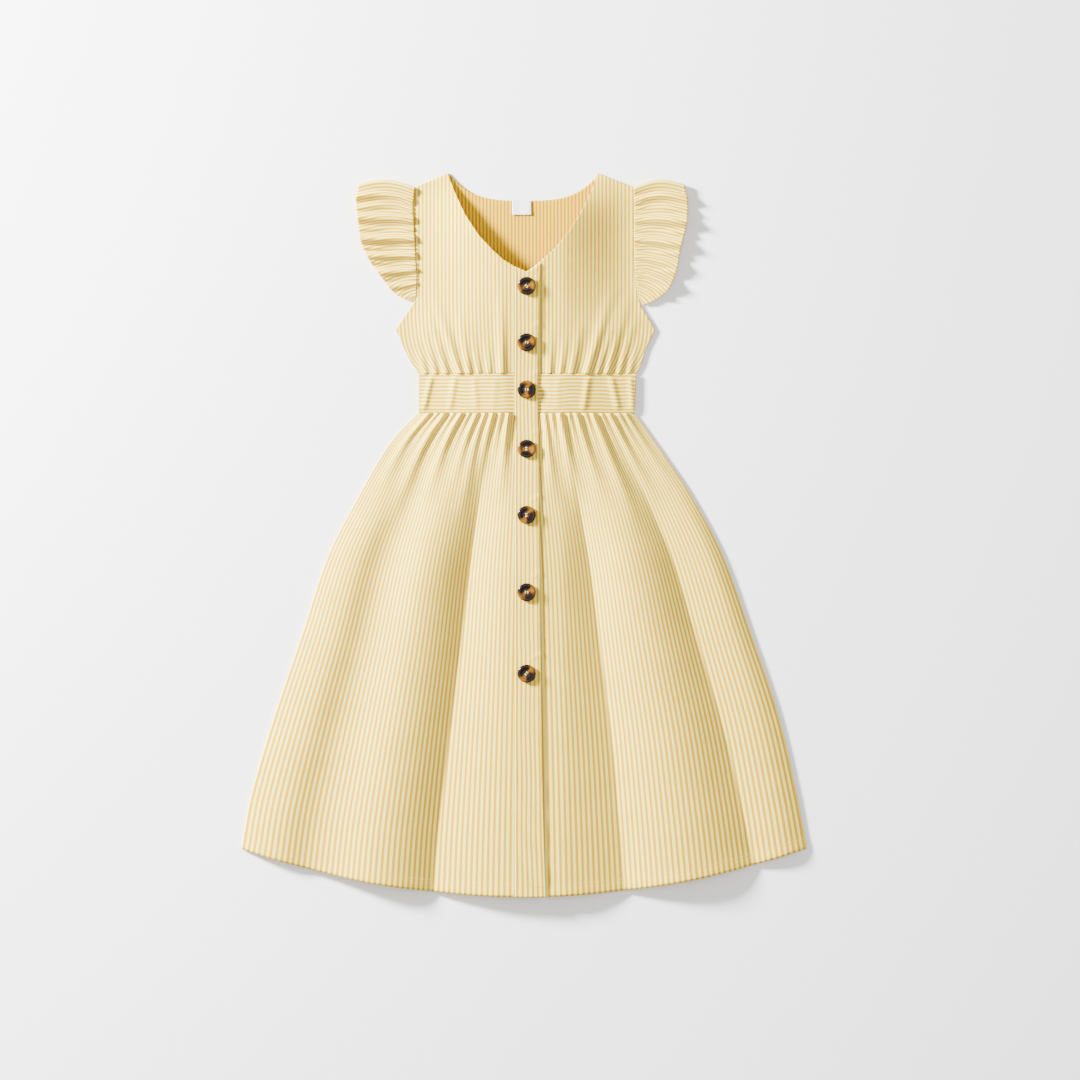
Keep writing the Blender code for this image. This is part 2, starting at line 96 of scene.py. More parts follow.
# Skirt folds: share of the half width at the waist, at the hem, height, 1 where the valley is sharp
SKIRT_FOLDS_LEFT = (
    (-1.000, -1.000, 0.0, 1), (-0.840, -0.870, 7.0, 0), (-0.705, -0.750, 3.0, 0),
    (-0.490, -0.512, 14.0, 0), (-0.262, -0.322, 0.6, 1),
)
SKIRT_FOLDS_RIGHT = (
    (0.323, 0.357, 0.6, 1), (0.525, 0.588, 14.0, 0), (0.718, 0.812, 0.6, 1),
    (0.925, 0.915, 5.0, 0), (1.000, 1.000, 0.0, 1),
)
BAND_RIGHT_EDGE = (
    (297.6, 17.8), (159.0, 15.0), (94.0, 16.0), (-152.0, 18.7), (-300.0, 21.0), (-397.7, 24.0),
)
RUFFLE_STATIONS = (
    (0.00, 260.0, -124.5, 256.5, 131.0, 252.5), (0.12, 270.0, -141.0, 264.0, 144.0, 258.0),
    (0.27, 285.0, -157.0, 283.0, 159.0, 270.0), (0.42, 302.0, -171.0, 303.0, 168.0, 292.0),
    (0.58, 322.0, -179.5, 322.0, 172.5, 316.0), (0.75, 345.0, -183.0, 346.0, 179.0, 342.0),
    (0.90, 366.0, -185.0, 368.0, 180.0, 366.0), (1.00, 379.5, -182.0, 383.0, 176.5, 382.5),
)

# Gathers below the waistband: x at the waist, height before scaling, length down, half width at the seam
SKIRT_GATHERS = (
    (-112, 2.6, 50, 3.2), (-104, 4.2, 95, 3.6), (-95, 3.0, 60, 3.0), (-87, 4.6, 130, 3.8),
    (-77, 3.4, 70, 3.2), (-69, 4.8, 110, 3.6), (-60, 3.2, 55, 3.0), (-52, 4.4, 85, 3.4),
    (-43, 3.6, 120, 3.2), (-34, 4.6, 75, 3.6), (-25, 3.4, 60, 3.0), (-17, 4.2, 95, 3.2),
    (22, 4.4, 100, 3.2), (30, 3.4, 60, 3.0), (39, 4.8, 120, 3.8), (49, 3.2, 70, 3.0),
    (57, 4.6, 95, 3.6), (67, 3.6, 60, 3.2), (75, 5.0, 130, 3.8), (85, 3.2, 75, 3.0),
    (93, 4.4, 105, 3.6), (103, 3.6, 65, 3.2), (111, 4.0, 85, 3.2), (118, 2.6, 45, 2.8),
)
# Gathers above the waistband: x at the waist, x and level where it dies out, height, half width
BODICE_GATHERS = (
    (-108, -121, 226, 2.4, 3.6), (-97, -116, 252, 2.8, 3.8), (-85, -112, 268, 3.0, 3.8),
    (-70, -109, 291, 3.6, 4.2), (-60, -73, 253, 3.4, 3.6), (-49, -60, 236, 2.2, 3.2),
    (-38, -42, 222, 2.0, 3.0), (-24, -26, 285, 3.2, 3.6),
    (28, 30, 240, 2.4, 3.4), (40, 46, 225, 2.0, 3.0), (52, 64, 240, 2.4, 3.4),
    (69, 100, 280, 3.6, 4.2), (80, 108, 262, 2.6, 3.4), (91, 117, 269, 3.2, 3.8),
    (104, 124, 248, 2.6, 3.4), (115, 128, 222, 2.0, 3.2),
)
# Creases of the waistband: x at its top, x at its foot, height, half width
WAIST_CREASES = (
    (-101, -111, 1.6, 3.2), (-75, -82, 1.2, 3.4), (-55, -52, 0.9, 3.6), (-31, -34, 0.5, 4.0),
    (38, 36, 0.5, 4.0), (71, 65, 1.4, 3.4), (95, 104, 1.5, 3.6), (117, 119, 1.2, 3.0),
)
# Flutes of a sleeve: share of the way up, height at the hem, half width as a share, reach in from the hem
RUFFLE_FLUTES = (
    (0.05, 3.0, 0.030, 1.0), (0.12, 2.6, 0.022, 0.7), (0.18, 6.0, 0.036, 1.0), (0.25, 3.0, 0.022, 0.6),
    (0.31, 7.0, 0.036, 1.0), (0.38, 2.8, 0.020, 0.6), (0.45, 6.0, 0.038, 1.0), (0.52, 3.2, 0.022, 0.7),
    (0.60, 7.5, 0.040, 1.0), (0.68, 3.0, 0.022, 0.6), (0.76, 6.5, 0.038, 1.0), (0.84, 3.4, 0.024, 0.8),
    (0.91, 5.0, 0.030, 1.0),
)
RUFFLE_STRIPES = 42  # stripes along the front half of a sleeve
SKIRT_STRIPES = 52  # stripes from the middle of the skirt to its side
BAND_STRIPES = 6.1  # stripes across the button band
GATHER_DEPTH = 1.25  # scales the gathers below the waistband
RUFFLE_WIDTH = 62.0  # of a sleeve, from its seam to its hem


# ---------------------------------------------------------------- curves through the tables


def straight(rows, column, at):
    table = np.array(sorted(rows))
    return np.interp(at, table[:, 0], table[:, column])


def through(rows, column, at):
    """A smooth curve through one column of a table whose first column is the position."""
    table = np.array(sorted(rows))
    x, y = table[:, 0], table[:, column]
    at = np.clip(np.asarray(at, float), x[0], x[-1])
    before = np.maximum(np.arange(len(x)) - 1, 0)
    after = np.minimum(np.arange(len(x)) + 1, len(x) - 1)
    slope = (y[after] - y[before]) / (x[after] - x[before])
    i = np.clip(np.searchsorted(x, at, side="left") - 1, 0, len(x) - 2)
    span = x[i + 1] - x[i]
    t = (at - x[i]) / span
    return (
        (2 * t**3 - 3 * t**2 + 1) * y[i]
        + (t**3 - 2 * t**2 + t) * span * slope[i]
        + (3 * t**2 - 2 * t**3) * y[i + 1]
        + (t**3 - t**2) * span * slope[i + 1]
    )


def ease(t):
    t = np.clip(t, 0.0, 1.0)
    return t * t * (3 - 2 * t)


def ridge(distance, half_width):
    """A soft rounded ridge across a distance."""
    return np.exp(-((distance / half_width) ** 2))


# ---------------------------------------------------------------- the form of the dress


def swell(x, left, right):
    on_left = (BAND_MIDDLE - BAND_FLAT_HALF - x) / (BAND_MIDDLE - BAND_FLAT_HALF - left)
    on_right = (x - BAND_MIDDLE - BAND_FLAT_HALF) / (right - BAND_MIDDLE - BAND_FLAT_HALF)
    reach = np.clip(np.where(x < BAND_MIDDLE, on_left, on_right), 0.0, 1.0)
    return (1 - reach**2) ** 2


def upper_height(x, y):
    """Underside of the front above the skirt."""
    sides = sorted(BODICE_SIDES + (SKIRT_SIDES[0],))
    return LOW + through(CROWN, 1, y) * swell(x, straight(sides, 1, y), straight(sides, 2, y))


def skirt_level(y):
    return (WAIST_LOW - y) / (WAIST_LOW - HEM_CENTRE)


def skirt_sides(level):
    y = WAIST_LOW + (HEM_SIDE - WAIST_LOW) * level
    return y, float(through(SKIRT_SIDES, 1, y)), float(through(SKIRT_SIDES, 2, y))


def fold_height(x, level):
    _, left, right = skirt_sides(level)
    knots = [((a + (b - a) * level) * -left, h, s) for a, b, h, s in SKIRT_FOLDS_LEFT]
    knots += [(BAND_MIDDLE - BAND_FLAT_HALF, BAND_CREST, 0), (BAND_MIDDLE + BAND_FLAT_HALF, BAND_CREST, 0)]
    knots += [((a + (b - a) * level) * right, h, s) for a, b, h, s in SKIRT_FOLDS_RIGHT]
    at = np.array([k[0] for k in knots])
    high = np.array([k[1] for k in knots])
    sharp = np.array([k[2] for k in knots])
    x = np.clip(x, at[0], at[-1])
    i = np.clip(np.searchsorted(at, x, side="left") - 1, 0, len(at) - 2)
    t = (x - at[i]) / (at[i + 1] - at[i])
    soft = (1 - np.cos(t * np.pi)) / 2
    rise = np.where(sharp[i] == 1, np.sin(t * np.pi / 2), soft)
    rise = np.where((sharp[i] == 0) & (sharp[i + 1] == 1), 1 - np.cos(t * np.pi / 2), rise)
    return high[i] + (high[i + 1] - high[i]) * rise


def skirt_height(x, level):
    y, left, right = skirt_sides(level)
    crown = through(CROWN, 1, WAIST_LOW) * swell(x, left, right)
    share = ease((WAIST_LOW - y) / (WAIST_LOW - FOLDS_FULL_AT))
    return LOW + crown + (fold_height(x, level) - crown) * share


def skirt_gathers(x, level):
    """Height that the gathers add: each runs down its own line of cloth, widens and dies out."""
    y, left, right = skirt_sides(level)
    down = WAIST_LOW - y
    share = np.where(x < 0, x / -left, x / right)
    total = np.zeros_like(x)
    for waist_x, height, length, half in SKIRT_GATHERS:
        line = waist_x / (116.0 if waist_x < 0 else 121.0)
        left_over = max(1 - down / length, 0.0)
        width = (half + 0.05 * down) / (-left if waist_x < 0 else right)
        total += GATHER_DEPTH * height * left_over**1.3 * ridge(share - line, width)
    return total * ease(1 - np.abs(share) ** 12)


def lap_drop(x):
    return LAP * (1 - ease((x - LAP_FROM) / (LAP_TO - LAP_FROM)))


def front_height(x, y):
    """Underside of the front's top layer along the button band."""
    y = np.atleast_1d(np.asarray(y, float))
    x = np.broadcast_to(np.asarray(x, float), y.shape)
    below = [float(skirt_height(np.array([a]), skirt_level(b))[0]) for a, b in zip(x, y)]
    return np.where(y > WAIST_LOW, upper_height(x, y), below)


def back_top(x):
    """Upper edge of the back: shoulders outside the neck points, a round neck between them."""
    outside = (np.abs(x) - NECK_POINT_X) / (BODICE_SIDES[-1][2] - NECK_POINT_X)
    neck = NECK_POINT_Y - BACK_NECK_DEPTH * (1 - (np.abs(x) / NECK_POINT_X) ** BACK_NECK_ROUNDNESS)
    return np.where(np.abs(x) >= NECK_POINT_X, NECK_POINT_Y + (SHOULDER_Y - NECK_POINT_Y) * outside, neck)


def spread(across, height, total=None, pull=1.0):
    """Stripe position along each row: close together on steep cloth, as seen from above."""
    run = np.diff(across, axis=1)
    climb = np.diff(height, axis=1)
    length = np.sqrt(run**2 + (pull * climb) ** 2)
    along = np.concatenate([np.zeros((len(across), 1)), np.cumsum(length, axis=1)], axis=1)
    return along / STRIPE if total is None else along / along[:, -1:] * total


# ---------------------------------------------------------------- builders


def plain_mesh(made):
    """The object as its modifiers leave it, as a plain mesh."""
    bpy.context.view_layer.update()
    graph = bpy.context.evaluated_depsgraph_get()
    mesh = bpy.data.meshes.new_from_object(made.evaluated_get(graph))
    made.modifiers.clear()
    made.data = mesh


def cloth(name, nodes, points, stripes, finish, thick=SHEET):
    """A sheet of cloth from a grid of points in mm and a grid of stripe positions and lengths."""
    rows, columns, _ = points.shape
    index = np.arange(rows * columns).reshape(rows, columns)
    faces = np.stack([index[:-1, :-1], index[:-1, 1:], index[1:, 1:], index[1:, :-1]], axis=-1).reshape(-1, 4)
    a, b, d = (points.reshape(-1, 3)[faces[:, k]] for k in (0, 1, 3))
    if np.cross(b - a, d - a)[: columns * 3, 2].sum() < 0:
        faces = faces[:, ::-1]
    mesh = bpy.data.meshes.new(name)
    mesh.from_pydata((points.reshape(-1, 3) * MM).tolist(), [], faces.tolist())
    layer = mesh.uv_layers.new(name="cloth")
    loops = np.empty(len(mesh.loops), np.int32)
    mesh.loops.foreach_get("vertex_index", loops)
    layer.data.foreach_set("uv", stripes.reshape(-1, 2)[loops].astype(np.float32).ravel())
    mesh.shade_smooth()
    made = bpy.data.objects.new(name, mesh)
    bpy.context.scene.collection.objects.link(made)
    mesh.materials.append(finish)
    wall = made.modifiers.new("Thickness", "SOLIDIFY")
    wall.thickness = thick * MM
    wall.offset = 1.0
    plain_mesh(made)
    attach(made, "root")
    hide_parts(*nodes)
    return made


def node_maker(tree):
    def add(kind, **values):
        node = tree.nodes.new(kind)
        for key, value in values.items():
            setattr(node, key, value)
        return node

    return add


def maths(tree, operation, first, second=None):
    node = tree.nodes.new("ShaderNodeMath")
    node.operation = operation
    for socket, value in zip(node.inputs, (first, second)):
        if value is None:
            continue
        if isinstance(value, (int, float)):
            socket.default_value = value
        else:
            tree.links.new(value, socket)
    return node.outputs[0]


def poplin(name, white=(0.98, 0.86, 0.19), yellow=(0.70, 0.37, 0.0), glow=0.18):
    """Woven candy stripe: the stripe, uneven threads, the weave's relief and a little light let through."""
    made = bpy.data.materials.new(name)
    made.use_nodes = True
    tree = made.node_tree
    add = node_maker(tree)
    link = tree.links.new
    shader = tree.nodes["Principled BSDF"]
    shader.inputs["Roughness"].default_value = 0.68
    shader.inputs["Specular IOR Level"].default_value = 0.03
    grid = add("ShaderNodeUVMap", uv_map="cloth")
    parts = add("ShaderNodeSeparateXYZ")
    link(grid.outputs[0], parts.inputs[0])
    across = parts.outputs[0]
    # the stripe: 1 on yellow, 0 on white, with woven edges
    place = maths(tree, "ABSOLUTE", maths(tree, "SUBTRACT", maths(tree, "FRACT", across), 0.5))
    stripe = add("ShaderNodeMapRange", interpolation_type="SMOOTHSTEP")
    link(place, stripe.inputs["Value"])
    for key, value in (("From Min", 0.20), ("From Max", 0.28), ("To Min", 1.0), ("To Max", 0.0)):
        stripe.inputs[key].default_value = value
    # uneven threads, long along the stripe
    stretch = add("ShaderNodeMapping")
    stretch.inputs["Scale"].default_value = (9.0, 0.5, 1.0)
    link(grid.outputs[0], stretch.inputs["Vector"])
    slub = add("ShaderNodeTexNoise")
    slub.inputs["Scale"].default_value = 1.0
    slub.inputs["Detail"].default_value = 3.0
    link(stretch.outputs[0], slub.inputs["Vector"])
    broad = add("ShaderNodeTexNoise")
    broad.inputs["Scale"].default_value = 0.12
    link(grid.outputs[0], broad.inputs["Vector"])
    two = add("ShaderNodeMix", data_type="RGBA")
    link(stripe.outputs[0], two.inputs["Factor"])
    two.inputs["A"].default_value = (*white, 1)
    two.inputs["B"].default_value = (*yellow, 1)
    shade = add("ShaderNodeMapRange")
    link(maths(tree, "ADD", slub.outputs["Fac"], broad.outputs["Fac"]), shade.inputs["Value"])
    for key, value in (("From Min", 0.6), ("From Max", 1.4), ("To Min", 0.93), ("To Max", 1.05)):
        shade.inputs[key].default_value = value
    toned = add("ShaderNodeVectorMath", operation="SCALE")
    link(two.outputs["Result"], toned.inputs[0])
    link(shade.outputs[0], toned.inputs["Scale"])
    link(toned.outputs[0], shader.inputs["Base Color"])
    # plain weave, about 14 threads to a stripe
    warp = maths(tree, "SINE", maths(tree, "MULTIPLY", across, 14 * math.tau))
    weft = maths(tree, "SINE", maths(tree, "MULTIPLY", parts.outputs[1], 12 * math.tau))
    weave = maths(tree, "ADD", maths(tree, "MULTIPLY", warp, weft), slub.outputs["Fac"])
    bump = add("ShaderNodeBump")
    bump.inputs["Strength"].default_value = 0.25
    bump.inputs["Distance"].default_value = 0.00008
    link(weave, bump.inputs["Height"])
    link(bump.outputs[0], shader.inputs["Normal"])
    through_light = add("ShaderNodeBsdfTranslucent")
    link(toned.outputs[0], through_light.inputs["Color"])
    mixed = add("ShaderNodeMixShader")
    mixed.inputs[0].default_value = glow
    link(shader.outputs[0], mixed.inputs[1])
    link(through_light.outputs[0], mixed.inputs[2])
    link(mixed.outputs[0], tree.nodes["Material Output"].inputs["Surface"])
    return made


def grid_stripes(across, along):
    return np.stack([across, along / STRIPE], axis=-1)


# ---------------------------------------------------------------- panels


def make_back(finish):
    """Skirt, waistband and bodice of the back, which lie flat on the surface."""
    rows = []
    for level in np.linspace(1.0, 0.0, 60):
        _, left, right = skirt_sides(level)
        share = np.linspace(-1, 1, 81)
        x = np.where(share < 0, share * -left, share * right)
        y = WAIST_LOW + (HEM_SIDE - WAIST_LOW) * level + (HEM_CENTRE - HEM_SIDE) * level * (1 - share**2)
        rows.append(np.stack([x, y, np.zeros_like(x)], axis=-1))
    points = np.array(rows)
    share = np.broadcast_to(np.linspace(-1, 1, 81), points.shape[:2])
    cloth(
        "back_skirt", ["skirt_back"], points, grid_stripes(share * SKIRT_STRIPES, points[..., 1]),
        finish, thick=CLOTH,
    )
    levels = np.linspace(WAIST_LOW + 0.2, WAIST_TOP + 0.2, 20)
    y, u = np.meshgrid(levels, np.linspace(0, 1, 81), indexing="ij")
    left, right = (straight((SKIRT_SIDES[0], BODICE_SIDES[0]), k, y) for k in (1, 2))
    points = np.stack([left + (right - left) * u, y, np.zeros_like(y)], axis=-1)
    cloth(
        "back_waistband", ["waistband_back"], points, grid_stripes(y / STRIPE, points[..., 0]),
        finish, thick=CLOTH,
    )
    low = WAIST_TOP + 0.4
    top_left, top_right = BODICE_SIDES[-1][1:]
    top_x = np.concatenate([
        np.linspace(top_left, -NECK_POINT_X, 12), np.linspace(-NECK_POINT_X, NECK_POINT_X, 90)[1:],
        np.linspace(NECK_POINT_X, top_right, 12)[1:],
    ])
    rows = []
    for level in np.linspace(low, SHOULDER_Y, 90):
        left, right = straight(BODICE_SIDES, 1, level), straight(BODICE_SIDES, 2, level)
        climb = (level - low) / (SHOULDER_Y - low)
        x = left + (top_x - top_left) / (top_right - top_left) * (right - left)
        rows.append(np.stack([x, low + climb * (back_top(top_x) - low), np.zeros_like(x)], axis=-1))
    points = np.array(rows)
    cloth(
        "back_bodice", ["bodice_back"], points, grid_stripes(points[..., 0] / BACK_STRIPE, points[..., 1]),
        finish, thick=CLOTH,
    )


def make_skirt_front(name, node, on_left, finish):
    rows = []
    columns = 230
    for level in np.linspace(1.0, SEAM_GAP / (WAIST_LOW - HEM_CENTRE), 180):
        y, left, right = skirt_sides(level)
        if on_left:
            x = np.linspace(left, BAND_LEFT - 0.2, columns)
            share = x / left
            drop = 0.0
        else:
            x = np.linspace(RIGHT_FRONT_EDGE, right, columns)
            share = x / right
            drop = lap_drop(x)
        sag = (HEM_CENTRE - HEM_SIDE) * level * (1 - share**2)
        fine = skirt_gathers(x, level)
        settle = 1 - 0.5 * ridge((x - (BAND_LEFT if on_left else 20)), 5)
        z = skirt_height(x, level) - drop + fine * settle
        # the hem is turned up twice, so it stands a little thicker
        turned = ease((HEM_DEPTH - (1 - level) * (WAIST_LOW - HEM_CENTRE)) / 1.5) * 0.35
        rows.append(np.stack([x, y + sag, z + turned], axis=-1))
    points = np.array(rows)
    count = SKIRT_STRIPES * (points[:, -1, 0] - points[:, 0, 0]) / np.where(
        on_left, -points[:, 0, 0], points[:, -1, 0]
    )
    along = spread(points[..., 0], points[..., 2], total=1.0, pull=1.7)
    if on_left:
        stripes = -SKIRT_STRIPES + along * count[:, None]
    else:
        stripes = SKIRT_STRIPES - (1 - along) * count[:, None]
    return cloth(
        name, [node], points, grid_stripes(stripes, points[..., 1]), finish
    )


def bodice_gathers(x, y):
    total = np.zeros_like(x)
    for foot, top_x, top_y, height, half in BODICE_GATHERS:
        t = np.clip((y - WAIST_TOP) / (top_y - WAIST_TOP), 0, 1)
        line = foot + (top_x - foot) * t
        total += height * (1 - t) ** 1.2 * ridge(x - line, half * (1 + 0.9 * t))
    return total


def make_bodice_front(name, node, on_left, finish):
    side, edge_x, edge_y = (1, 1, 2) if on_left else (2, 3, 4)
    rows = []
    for level in np.linspace(WAIST_TOP, SHOULDER_Y, 150):
        outer = straight(BODICE_SIDES, side, level), level
        inner = straight(BODICE_FRONT_EDGES, edge_x, level), straight(BODICE_FRONT_EDGES, edge_y, level)
        share = np.linspace(0, 1, 130)
        if not on_left:
            share = 1 - share
        x = outer[0] + (inner[0] - outer[0]) * share
        y = outer[1] + (inner[1] - outer[1]) * share
        drop = 0.0 if on_left else lap_drop(x)
        fine = bodice_gathers(x, y) * ease((1 - np.abs(share * 2 - 1)) * 14)
        rows.append(np.stack([x, y, upper_height(x, y) - drop + fine, fine], axis=-1))
    points = np.array(rows)
    fine = points[..., 3]
    points = points[..., :3]
    extra = spread(points[..., 0], fine, pull=1.8) - (points[..., 0] - points[:, :1, 0]) / STRIPE
    extra -= extra[:, -1:] if on_left else extra[:, :1]
    return cloth(
        name, [node], points, grid_stripes(points[..., 0] / STRIPE + extra, points[..., 1]),
        finish,
    )


def make_waistband(name, node, on_left, finish):
    levels = np.linspace(WAIST_LOW + SEAM_GAP, WAIST_TOP - SEAM_GAP, 40)
    y, u = np.meshgrid(levels, np.linspace(0, 1, 130), indexing="ij")
    edges = (SKIRT_SIDES[0], BODICE_SIDES[0])
    if on_left:
        left, right = straight(edges, 1, y), BAND_LEFT - 0.2
    else:
        left, right = RIGHT_FRONT_EDGE, straight(edges, 2, y)
    x = left + (right - left) * u
    # the waistband lies lowest where the button band crosses it
    clear = ease((np.abs(x - (BAND_LEFT if on_left else BAND_RIGHT_EDGE[0][1])) + 1) / 14)
    z = upper_height(x, y) + 0.8 * clear - (0.0 if on_left else lap_drop(x))
    up = (y - WAIST_LOW) / (WAIST_TOP - WAIST_LOW)
    for top, foot, height, half in WAIST_CREASES:
        crease = ridge(x - (foot + (top - foot) * up), half)
        z = z + height * clear * crease * ease(np.minimum(up, 1 - up) * 5)
    # the seams pull the edges down, and the band puffs a little between them
    z = z + 0.5 * clear * np.sin(np.pi * np.clip(up, 0, 1)) ** 0.5
    wander = 0.16 * np.sin(x / 13.0) + 0.1 * np.sin(x / 5.3 + 1.0)
    wander = wander + 1.1 * ridge(x - 121, 5) * up
    points = np.stack([x, y, z], axis=-1)
    stripes = grid_stripes(y / WAISTBAND_STRIPE + wander * np.sin(np.pi * up), x)
    return cloth(name, [node], points, stripes, finish, thick=DOUBLE_SHEET)


def band_top(x):
    on_left = V_BOTTOM_Y + (BAND_TOP_LEFT - V_BOTTOM_Y) * (V_BOTTOM_X - x) / (V_BOTTOM_X - BAND_LEFT)
    right = BAND_RIGHT_EDGE[0][1]
    on_right = V_BOTTOM_Y + (BAND_TOP_RIGHT - V_BOTTOM_Y) * (x - V_BOTTOM_X) / (right - V_BOTTOM_X)
    return np.where(x < V_BOTTOM_X, on_left, on_right)


def make_button_band(finish):
    middle = np.linspace(HEM_CENTRE, V_BOTTOM_Y, 420)
    share = np.linspace(0, 1, 33)
    top_x = BAND_LEFT + share * (BAND_RIGHT_EDGE[0][1] - BAND_LEFT)
    notch = ease((middle - BUTTON_Y[0]) / (V_BOTTOM_Y - BUTTON_Y[0]))[:, None]
    right = through(BAND_RIGHT_EDGE, 1, middle)[:, None]
    x = BAND_LEFT + share * (right - BAND_LEFT)
    y = middle[:, None] + (band_top(top_x) - V_BOTTOM_Y) * notch
    z = front_height(BAND_MIDDLE, middle)[:, None] + BAND_LIFT + 0 * x
    # puckers beside each button, and a loose wave where the cloth between two buttons is slack
    for button in BUTTON_Y:
        z = z - 0.5 * ridge(y - button, 9) * ridge(x - BUTTON_X, 8)
        z = z + 0.5 * ridge(y - button - 14 - 0.5 * (x - BUTTON_X), 2.6) * ease((x - BUTTON_X) / 12)
        z = z + 0.4 * ridge(y - button + 15 - 0.5 * (x - BUTTON_X), 2.6) * ease((x - BUTTON_X) / 12)
    z = z + 0.25 * np.sin(y / 7.0 + x / 5.0) * ease((PUCKER_Y + 60 - y) / 60)
    points = np.stack([x, y, z], axis=-1)
    bend = 0.10 * np.sin(y / 19.0) * np.sin(np.pi * share)
    return cloth(
        "front_button_band", ["button_band"], points, grid_stripes(share * BAND_STRIPES + bend, y),
        finish, thick=DOUBLE_SHEET,
    )


# ---------------------------------------------------------------- flutter sleeves


def make_ruffle(name, node, side, finish):
    out = np.linspace(0, 1, 44)

    def station(share, width=1.0):
        seam_y = float(through(RUFFLE_STATIONS, 1, share))
        seam_x = float(straight(BODICE_SIDES, 1 if side < 0 else 2, seam_y)) + side * 0.3
        hem_x = float(through(RUFFLE_STATIONS, 2 if side < 0 else 4, share))
        hem_y = float(through(RUFFLE_STATIONS, 3 if side < 0 else 5, share))
        bow = 6.5 * np.sin(np.pi * out) * ease((share - 0.7) / 0.3)
        return (
            seam_x + (hem_x - seam_x) * out * width, seam_y + (hem_y - seam_y) * out * width + bow,
            min(math.dist((seam_x, seam_y), (hem_x, hem_y)) / 55, 1.0),
        )

    turn = 2.0
    turn_top = CLOTH + 2 * turn
    rows, stripes = [], []
    shares = np.linspace(0, 1, 300)
    for share in shares:
        x, y, full = station(share)
        z = np.zeros_like(out)
        for at, height, half, reach in RUFFLE_FLUTES:
            inward = ease((out - (1 - reach)) / 0.5) if reach < 1 else 1.0
            lean = at + 0.025 * (out - 0.5) * math.sin(at * 37)
            z += height * ridge(share - lean, half * (0.55 + 0.45 * out)) * (0.45 + 0.55 * out) * inward
        # short gathers held in the armhole seam
        z += 1.3 * (0.5 + 0.5 * np.sin(share * 150 + 2 * math.sin(share * 23))) * ridge(out, 0.22)
        z = LOW + 0.3 + full * (z + 1.5 * out)
        z = z + (turn_top - z) * ease((share - 0.90) / 0.10)
        rows.append(np.stack([x, y, z], axis=-1))
    front = np.array(rows)
    step = np.linalg.norm(np.diff(front, axis=0) * np.array([1, 1, 1.6]), axis=2)
    along = np.concatenate([np.zeros((1, len(out))), np.cumsum(step, axis=0)])
    stripe = along / along[-1:] * RUFFLE_STRIPES
    for angle in np.linspace(60, -60, 7):
        x, y, _ = station(1.0)
        past = turn * math.cos(math.radians(angle))
        z = CLOTH + turn * (1 + math.sin(math.radians(angle)))
        rows.append(np.stack([x, y + past, np.full_like(x, z)], axis=-1))
    for share in np.linspace(1, 0, 40):
        x, y, _ = station(share, 1.0 if share == 1 else 0.94)
        rows.append(np.stack([x, y, np.full_like(x, CLOTH)], axis=-1))
    points = np.array(rows)
    rest = len(points) - len(front)
    stripes = np.concatenate([stripe, RUFFLE_STRIPES + np.linspace(0.1, 36, rest)[:, None] + 0 * out])
    run = np.broadcast_to(np.abs(out) * RUFFLE_WIDTH, stripes.shape)
    return cloth(name, [node], points, grid_stripes(stripes, run), finish)


# ---------------------------------------------------------------- label, buttons and thread


def label_material():
    made = bpy.data.materials.new("White satin tape")
    made.use_nodes = True
    tree = made.node_tree
    add = node_maker(tree)
    shader = tree.nodes["Principled BSDF"]
    shader.inputs["Base Color"].default_value = (0.84, 0.80, 0.80, 1)
    shader.inputs["Roughness"].default_value = 0.45
    shader.inputs["Sheen Weight"].default_value = 0.3
    noise = add("ShaderNodeTexNoise")
    noise.inputs["Scale"].default_value = 3000
    coordinates = add("ShaderNodeTexCoord")
    tree.links.new(coordinates.outputs["Object"], noise.inputs["Vector"])
    bump = add("ShaderNodeBump")
    bump.inputs["Distance"].default_value = 0.00006
    tree.links.new(noise.outputs["Fac"], bump.inputs["Height"])
    tree.links.new(bump.outputs[0], shader.inputs["Normal"])
    return made


def make_label():
    x, y = np.meshgrid(np.linspace(-13, 8, 22), np.linspace(351.5, 367, 17))
    z = LOW + 0.1 + 0.5 * ((y - 367) / 15.5) ** 2 + 0.15 * np.sin(x / 3.0)
    points = np.stack([x, y, z], axis=-1)
    cloth("bare_label", ["neck_label"], points, grid_stripes(x, y), label_material(),
          thick=0.5)


